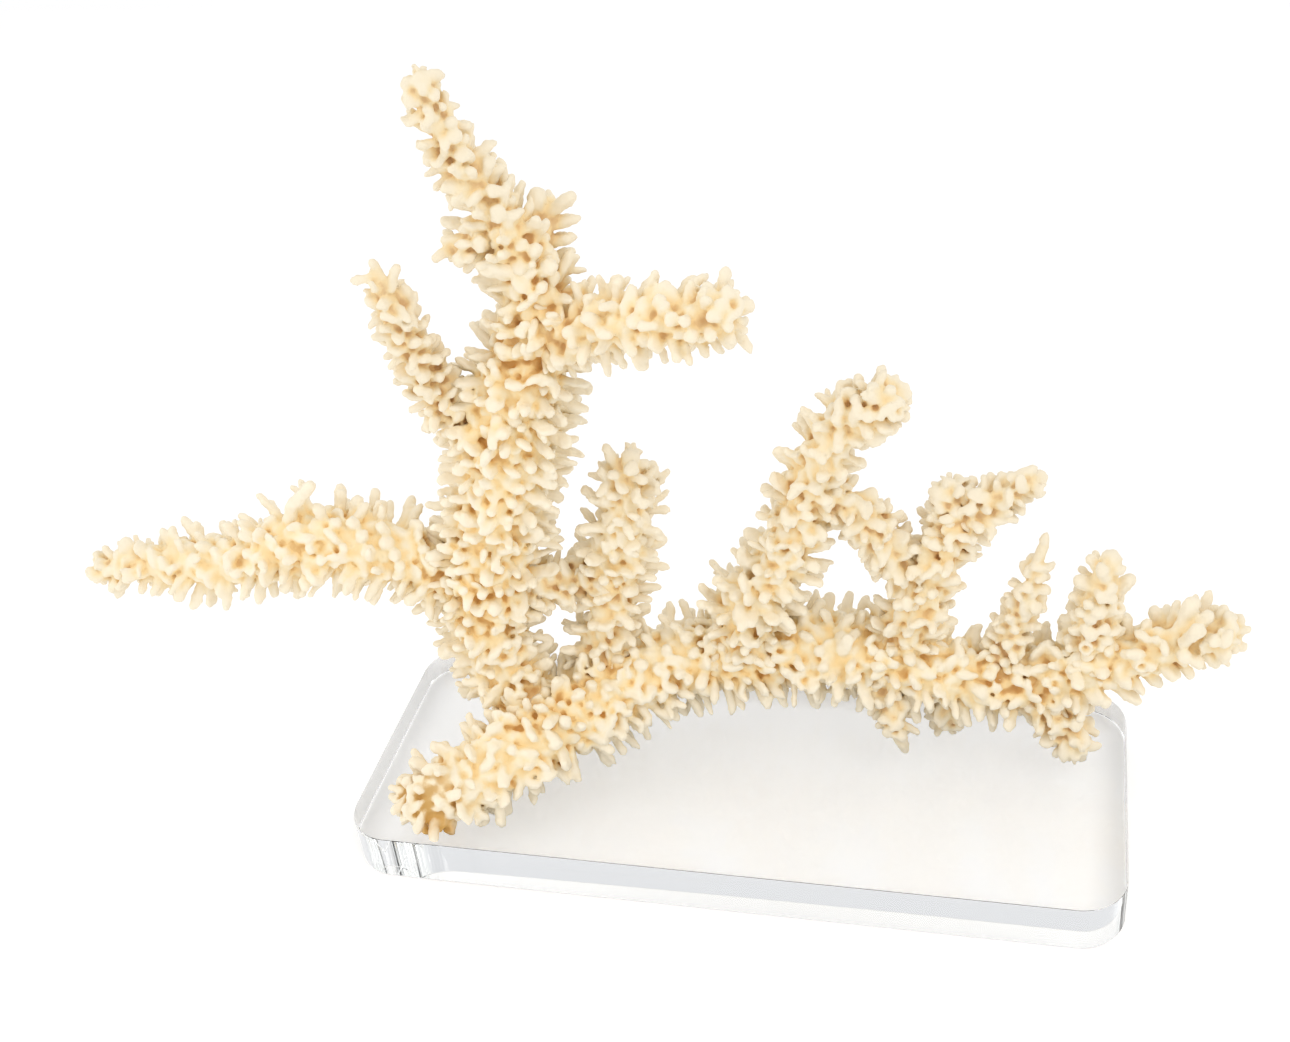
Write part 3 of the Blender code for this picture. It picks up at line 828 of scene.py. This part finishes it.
# Single fingers that stand out in the photograph: the branch, the kind, the foot and the tip in
# millimetres, and the thickness.
SINGLE_FINGERS = [
    ("left_arm", "round", (-159, -9, 122), (-152, -9, 140), 5.6),
    ("left_arm", "round", (-153, -9, 137), (-142, -10, 148), 4.8),
    ("crown_twig", "club", (-53, 12, 230), (-50, 12, 249), 6.0),
    ("crown_twig", "club", (-50, 12, 239), (-38, 12, 247), 4.4),
    ("crown_twig", "round", (-51, 12, 236), (-37, 12, 239), 4.0),
    ("crown_twig", "round", (-53, 11, 230), (-39, 11, 233), 4.0),
    ("crown_spur", "flat", (-67, 1, 240), (-79, 1, 244), 4.4),
    ("crown_spur", "round", (-67, 0, 238), (-80, 0, 237), 4.2),
    ("crown_spur", "flat", (-67, 0, 236), (-78, 0, 231), 4.0),
    ("crown_spur", "round", (-66, 0, 235), (-74, 0, 226), 4.0),
    ("left_spur", "round", (-96, -15, 229), (-98, -15, 238), 3.6),
    ("left_spur", "round", (-94, -15, 227), (-90, -15, 236), 3.6),
    ("inner_spire", "round", (-35, 13, 140), (-40, 13, 154), 4.2),
    ("inner_spire", "club", (-33, 13, 138), (-31, 13, 151), 6.5),
    ("knotty_spire", "club", (131, 25, 90), (132, 25, 109), 6.8),
    ("knotty_spire", "knob", (131, 23, 98), (128, 20, 107), 4.4),
    ("knotty_spire", "club", (131, 24, 90), (120, 24, 99), 4.8),
    ("knotty_spire", "club", (131, 25, 89), (140, 25, 99), 5.0),
    ("bough_end", "club", (156, 22, 79), (160, 22, 93), 5.5),
    ("bough_end", "round", (159, 20, 79), (166, 19, 90), 5.2),
    ("bough_end", "club", (157, 17, 77), (162, 13, 88), 5.0),
    ("thin_spire", "tapered", (107, 24, 102), (110, 24, 117), 4.2),
    ("forked_spire", "round", (97, 24, 138), (106, 24, 143), 4.4),
    ("front_leg", "tapered", (59, 12, 31), (62, 12, 20), 5.5),
    ("left_foot", "tapered", (-103, -45, 29), (-105, -51, 21.5), 6.5),
]

growths = {}
for name, _, _, _, free_end, mixture in BRANCHES:
    dice = random.Random(SEED + len(growths))
    growths[name] = Growth(stems[name], free_end, mixture, dice)
for name, kind, foot, tip, thickness in SINGLE_FINGERS:
    growths[name].add_single(kind, np.array(foot) * MM, np.array(tip) * MM, thickness * MM)
print("fingers in all:", sum(len(growth.fingers) for growth in growths.values()))

# %% [markdown]
# Fusing a branch
#
# The core of a branch is a row of overlapping balls, like clay beads pressed together. The
# fingers are copies of the drawn kinds, standing with their feet in the core. All of it is one
# mesh then, but the shapes only pass through each other. A voxel remesh fuses them into one
# skin with soft webs between the fingers, as in the real skeleton, and a little smoothing takes
# off the voxels' steps. A displace modifier with a cloud texture then makes the fingers uneven,
# as grown things are, and a decimate modifier keeps only the faces that are needed. What would
# reach into the slab is cut off flat. Sculpting could do all this too, but not for thousands of
# fingers.

# %% Fuse the core and the fingers of each branch
VOXEL = 0.63 * MM
BALL_STEP_SHARE = 0.4
BALL_SUBDIVISIONS = 2
SMOOTHING = 0.4
SMOOTHING_ROUNDS = 1
KEPT_FACES = 0.4
RESTING_GAP = 0.3 * MM
WELD = 0.02 * MM
UNEVEN_SIZE = 2.6 * MM
UNEVEN_HEIGHT = 1.3 * MM
UNEVEN_DETAIL = 1

uneven = bpy.data.textures.new("uneven_growth", "CLOUDS")
uneven.noise_scale = UNEVEN_SIZE
uneven.noise_depth = UNEVEN_DETAIL


def mesh_points(mesh):
    points = np.empty(len(mesh.vertices) * 3)
    mesh.vertices.foreach_get("co", points)
    return points.reshape(-1, 3)


def make_core(name, stem):
    """Overlapping balls along the stem, as one object."""
    deselect_all()
    distance = 0.0
    first = True
    while distance <= stem.length:
        index = stem.station(distance)
        radius = float(stem.cores[index])
        place = stem.middles[index]
        bpy.ops.mesh.primitive_ico_sphere_add(
            subdivisions=BALL_SUBDIVISIONS, radius=radius, location=place
        )
        if first:
            core = bpy.context.object
            core.name = name
            bpy.ops.object.transform_apply(location=True, rotation=True, scale=True)
            bpy.ops.object.mode_set(mode="EDIT")
            first = False
        distance += radius * BALL_STEP_SHARE
    bpy.ops.object.mode_set(mode="OBJECT")
    return core


def plant_fingers(name, planted):
    """Copies of the drawn fingers at their places, as one object with a mesh of its own."""
    points = []
    faces = []
    for kind, foot, direction, length, thickness, turn in planted:
        model, polygons = finger_models[kind]
        stand = Vector(direction).to_track_quat("Z", "Y").to_matrix()
        stand = np.array(stand @ Matrix.Rotation(turn, 3, "Z"))
        shaped = model * (thickness, thickness, length)
        start = sum(len(block) for block in points)
        points.append(shaped @ stand.T + foot)
        faces.extend([[start + corner for corner in polygon] for polygon in polygons])
    mesh = bpy.data.meshes.new(name)
    mesh.from_pydata(np.concatenate(points).tolist(), [], faces)
    planted_object = bpy.data.objects.new(name, mesh)
    bpy.context.scene.collection.objects.link(planted_object)
    return planted_object


def keep_largest_part(piece):
    """Deletes closed-in bubbles and loose crumbs, which the remesh can leave."""
    choose(piece)
    bpy.ops.mesh.separate(type="LOOSE")
    parts = sorted(bpy.context.selected_objects, key=lambda part: len(part.data.vertices))
    largest = parts.pop()
    for part in parts:
        bpy.data.objects.remove(part, do_unlink=True)
    return largest


def cut_flat(piece):
    """Cuts off flat what would reach into the slab."""
    height = SLAB_TOP + RESTING_GAP
    if mesh_points(piece.data)[:, 2].min() < height:
        bpy.ops.object.mode_set(mode="EDIT")
        bpy.ops.mesh.select_all(action="SELECT")
        bpy.ops.mesh.bisect(
            plane_co=(0, 0, height), plane_no=(0, 0, 1), use_fill=True, clear_inner=True
        )
        bpy.ops.mesh.select_all(action="SELECT")
        bpy.ops.mesh.remove_doubles(threshold=WELD)
        bpy.ops.mesh.dissolve_degenerate(threshold=WELD)
        bpy.ops.object.mode_set(mode="OBJECT")


def fuse_branch(name):
    """The finished skin of one branch, from its core and its fingers."""
    core = make_core(name, stems[name])
    planted = plant_fingers(name + "_fingers", growths[name].fingers)
    choose(core)
    planted.select_set(True)
    bpy.ops.object.join()
    remesh = core.modifiers.new("fuse", "REMESH")
    remesh.mode = "VOXEL"
    remesh.voxel_size = VOXEL
    bpy.ops.object.modifier_apply(modifier="fuse")
    piece = keep_largest_part(core)
    piece.name = name + "_skeleton"
    smooth = piece.modifiers.new("soften", "SMOOTH")
    smooth.factor = SMOOTHING
    smooth.iterations = SMOOTHING_ROUNDS
    choose(piece)
    bpy.ops.object.modifier_apply(modifier="soften")
    swell = piece.modifiers.new("swell", "DISPLACE")
    swell.texture = uneven
    swell.texture_coords = "LOCAL"
    swell.strength = UNEVEN_HEIGHT
    bpy.ops.object.modifier_apply(modifier="swell")
    thin_out = piece.modifiers.new("thin_out", "DECIMATE")
    thin_out.ratio = KEPT_FACES
    bpy.ops.object.modifier_apply(modifier="thin_out")
    cut_flat(piece)
    bpy.ops.object.shade_smooth()
    return piece


finger_models = {}
for kind, obj in fingers.items():
    polygons = [list(face.vertices) for face in obj.data.polygons]
    finger_models[kind] = (mesh_points(obj.data), polygons)
    bpy.data.objects.remove(obj, do_unlink=True)

pieces = {name: fuse_branch(name) for name, *_ in BRANCHES}
counts = []
for piece in pieces.values():
    counts.append(sum(len(face.vertices) - 2 for face in piece.data.polygons))
print("triangles in all:", sum(counts), "most in one:", max(counts))

# %% [markdown]
# Where the skin lies deep
#
# The colour of the coral darkens with depth: ivory on the tips and warm yellow to brown in the
# gaps, which is painted shade. The skin itself can tell where it lies deep, by
# its distance from the stem, by whether it is hollow or humped there, and by how near another
# branch comes, as in a fork. The thin branches are painted a little darker too, as painted shade.
# So these three and the branch's girth are stored as attributes of the mesh.

# %% Measure depth and hollows
HOLLOW_ROUNDS = 3
CROWDED_FROM = 1.45
CROWDED_FULLY = 0.95
CROWD_STATION_STEP = 3
FAR_AWAY = 1.0


def vertex_normals(mesh):
    normals = np.empty(len(mesh.vertices) * 3)
    mesh.vertices.foreach_get("normal", normals)
    return normals.reshape(-1, 3)


def neighbour_mean(values, edges, degrees):
    """Each vertex's mean over its neighbours."""
    total = np.zeros_like(values)
    for column in range(values.shape[1]):
        both = np.concatenate([values[edges[:, 1], column], values[edges[:, 0], column]])
        ends = np.concatenate([edges[:, 0], edges[:, 1]])
        total[:, column] = np.bincount(ends, weights=both, minlength=len(values))
    return total / degrees[:, None]


def store(mesh, name, values):
    attribute = mesh.attributes.new(name, "FLOAT", "POINT")
    attribute.data.foreach_set("value", values.astype(np.float32))


def measure_depth(piece, stem):
    """Stores the hollows, the height over the core and the girth of the stem."""
    mesh = piece.data
    points = mesh_points(mesh)
    edges = np.empty(len(mesh.edges) * 2, np.int32)
    mesh.edges.foreach_get("vertices", edges)
    edges = edges.reshape(-1, 2)
    degrees = np.bincount(edges.ravel(), minlength=len(points)).clip(1)
    inwards = neighbour_mean(points, edges, degrees) - points
    hollow = (inwards * vertex_normals(mesh)).sum(axis=1)[:, None]
    for _ in range(HOLLOW_ROUNDS):
        hollow = neighbour_mean(hollow, edges, degrees)
    hollow = hollow[:, 0] / VOXEL
    store(mesh, "hollow", hollow)
    nearest = np.zeros(len(points), int)
    gap = np.full(len(points), FAR_AWAY)
    for index, middle in enumerate(stem.middles):
        distance = np.linalg.norm(points - middle, axis=1)
        closer = distance < gap
        gap[closer] = distance[closer]
        nearest[closer] = index
    cores = stem.cores[nearest]
    height = (gap - cores) / (stem.reaches[nearest] - cores)
    store(mesh, "height", height)
    store(mesh, "girth", (stem.reaches[nearest] / THICK_REACH).clip(0, 1))
    return height, hollow


def measure_crowding(piece, name):
    """1 where the skin is inside another branch's reach, and 0 well away from all of them."""
    points = mesh_points(piece.data)
    crowding = np.zeros(len(points))
    own_line = line_of_branch[name]
    for other, stem in stems.items():
        if line_of_branch[other] != own_line:
            for index in range(0, len(stem.along), CROWD_STATION_STEP):
                away = np.linalg.norm(points - stem.middles[index], axis=1) / stem.reaches[index]
                share = (CROWDED_FROM - away) / (CROWDED_FROM - CROWDED_FULLY)
                np.maximum(crowding, share, out=crowding)
    store(piece.data, "crowding", crowding.clip(0, 1))


line_of_branch = {name: line for name, line, *_ in BRANCHES}
for name, piece in pieces.items():
    height, hollow = measure_depth(piece, stems[name])
    measure_crowding(piece, name)
print("on", name, "most heights lie between", np.percentile(height, (5, 95)).round(2))
print("on", name, "most hollows lie between", np.percentile(hollow, (5, 95)).round(3))

# %% [markdown]
# The coral's finish
#
# Bleached coral is stone, but it is not dead matt: old specimens have a faint waxy bloom from
# handling. The colour runs from ivory to warm brown with depth, which is painted shade in the
# gaps and forks, and the thin branches get painted shade too. The slow changes from branch to
# branch and a fine grain are the coral's own tone. Near the old broken foot the gaps are stained
# orange-brown, and so is the foot's lowest finger. It could be painted on by hand. Attributes and
# noise do it for all the fingers at once, and from every side.

# %% Finish the coral
# The first four colours go from the tips to the deepest gaps; their darkening is painted shade.
IVORY = (0.95, 0.86, 0.68)
CREAM = (0.95, 0.81, 0.54)
HONEY = (0.95, 0.71, 0.35)
DEEPEST_SHADE = (0.64, 0.34, 0.09)
# Painted shade for the thin branches.
SHADED = (0.83, 0.72, 0.53)
STAIN = (0.60, 0.35, 0.10)
STAIN_PLACE = (-113 * MM, -46 * MM, 28 * MM)
STAIN_FADES = (8 * MM, 28 * MM)
TIP_STAIN = (0.72, 0.42, 0.11)
TIP_PLACE = (-105 * MM, -51 * MM, 21 * MM)
TIP_FADES = (4 * MM, 10 * MM)

# How much each measure adds to the depth that the colour follows, darker with depth as painted
# shade.
DEPTH_AT_CORE = 0.62
LESS_BY_HEIGHT = 0.4
MORE_BY_HOLLOW = 2.5
MORE_BY_CROWDING = 0.3
LESS_BY_GIRTH = 0.32
MOTTLE_SHARE = 0.3
PATCH_SHARE = 0.8
DEPTH_RANGE = (-0.3, 1.15)
SHADED_SHARE = 0.5

# The colours from the outermost to the deepest skin, where the darker ones are painted shade, and
# where the stains begin and are full.
DEPTH_SHADE_COLOURS = [(0.0, IVORY), (0.35, CREAM), (0.75, HONEY), (1.0, DEEPEST_SHADE)]
STAIN_MOTTLE = 0.5
STAIN_RANGE = (0.35, 0.8)
TIP_RANGE = (0.1, 0.5)

# Each noise: its scale and its detail. All of them swing about the same middle value.
PATCHES = (22.0, 2.0)
MOTTLE = (260.0, 3.0)
GRAIN = (1500.0, 2.0)
NOISE_MIDDLE = 0.5

BUMP_OF_MOTTLE, BUMP_OF_GRAIN = 0.7, 0.3
CORAL_ROUGHNESS = 0.55
GRAIN_ROUGHNESS = 0.12
BUMP_STRENGTH = 0.25
BUMP_HEIGHT = 0.3 * MM
CORAL_BEND = 1.45

coral = Finish("coral_skeleton")
place = coral.add("TexCoord", {}, {}, "Object")
height = coral.add("Attribute", {"attribute_name": "height"}, {}, "Fac")
hollow = coral.add("Attribute", {"attribute_name": "hollow"}, {}, "Fac")
crowding = coral.add("Attribute", {"attribute_name": "crowding"}, {}, "Fac")
girth = coral.add("Attribute", {"attribute_name": "girth"}, {}, "Fac")
patches = coral.noise(place, *PATCHES)
mottle = coral.noise(place, *MOTTLE)
grain = coral.noise(place, *GRAIN)

# Painted shade: the colour follows this depth, darker in gaps, hollows and forks.
depth = DEPTH_AT_CORE - height * LESS_BY_HEIGHT + hollow * MORE_BY_HOLLOW
depth = depth + crowding * MORE_BY_CROWDING - girth * LESS_BY_GIRTH
depth = depth + (mottle - NOISE_MIDDLE) * MOTTLE_SHARE + (patches - NOISE_MIDDLE) * PATCH_SHARE
depth = coral.ramp(depth, *DEPTH_RANGE)
skin = coral.add("ValToRGB", {"stops": DEPTH_SHADE_COLOURS}, {"Fac": depth})
# Painted shade: the thinner a branch, the more of the shaded colour it gets.
skin = coral.mix((1 - girth) * SHADED_SHARE, skin, colour(*SHADED))


def near_place(spot, fades):
    """1 near a spot, fading to 0 between two distances from it."""
    distance = coral.add("VectorMath", {"operation": "DISTANCE"}, {0: place, 1: spot}, "Value")
    return 1 - coral.ramp(distance, *fades)


stained = coral.ramp(depth + mottle * STAIN_MOTTLE, *STAIN_RANGE)
stained = near_place(STAIN_PLACE, STAIN_FADES) * stained
skin = coral.mix(stained, skin, colour(*STAIN))
tip_stained = near_place(TIP_PLACE, TIP_FADES) * coral.ramp(mottle, *TIP_RANGE)
skin = coral.mix(tip_stained, skin, colour(*TIP_STAIN))
coral.set(
    Base_Color=skin,
    Roughness=CORAL_ROUGHNESS + grain * GRAIN_ROUGHNESS,
    Normal=coral.add(
        "Bump",
        {},
        {
            "Strength": BUMP_STRENGTH,
            "Distance": BUMP_HEIGHT,
            "Height": mottle * BUMP_OF_MOTTLE + grain * BUMP_OF_GRAIN,
        },
    ),
    IOR=CORAL_BEND,
)
for name, piece in pieces.items():
    piece.data.materials.clear()
    piece.data.materials.append(coral.material)
    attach(piece, "root")
    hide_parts(name)
print("coral nodes:", len(coral.tree.nodes))
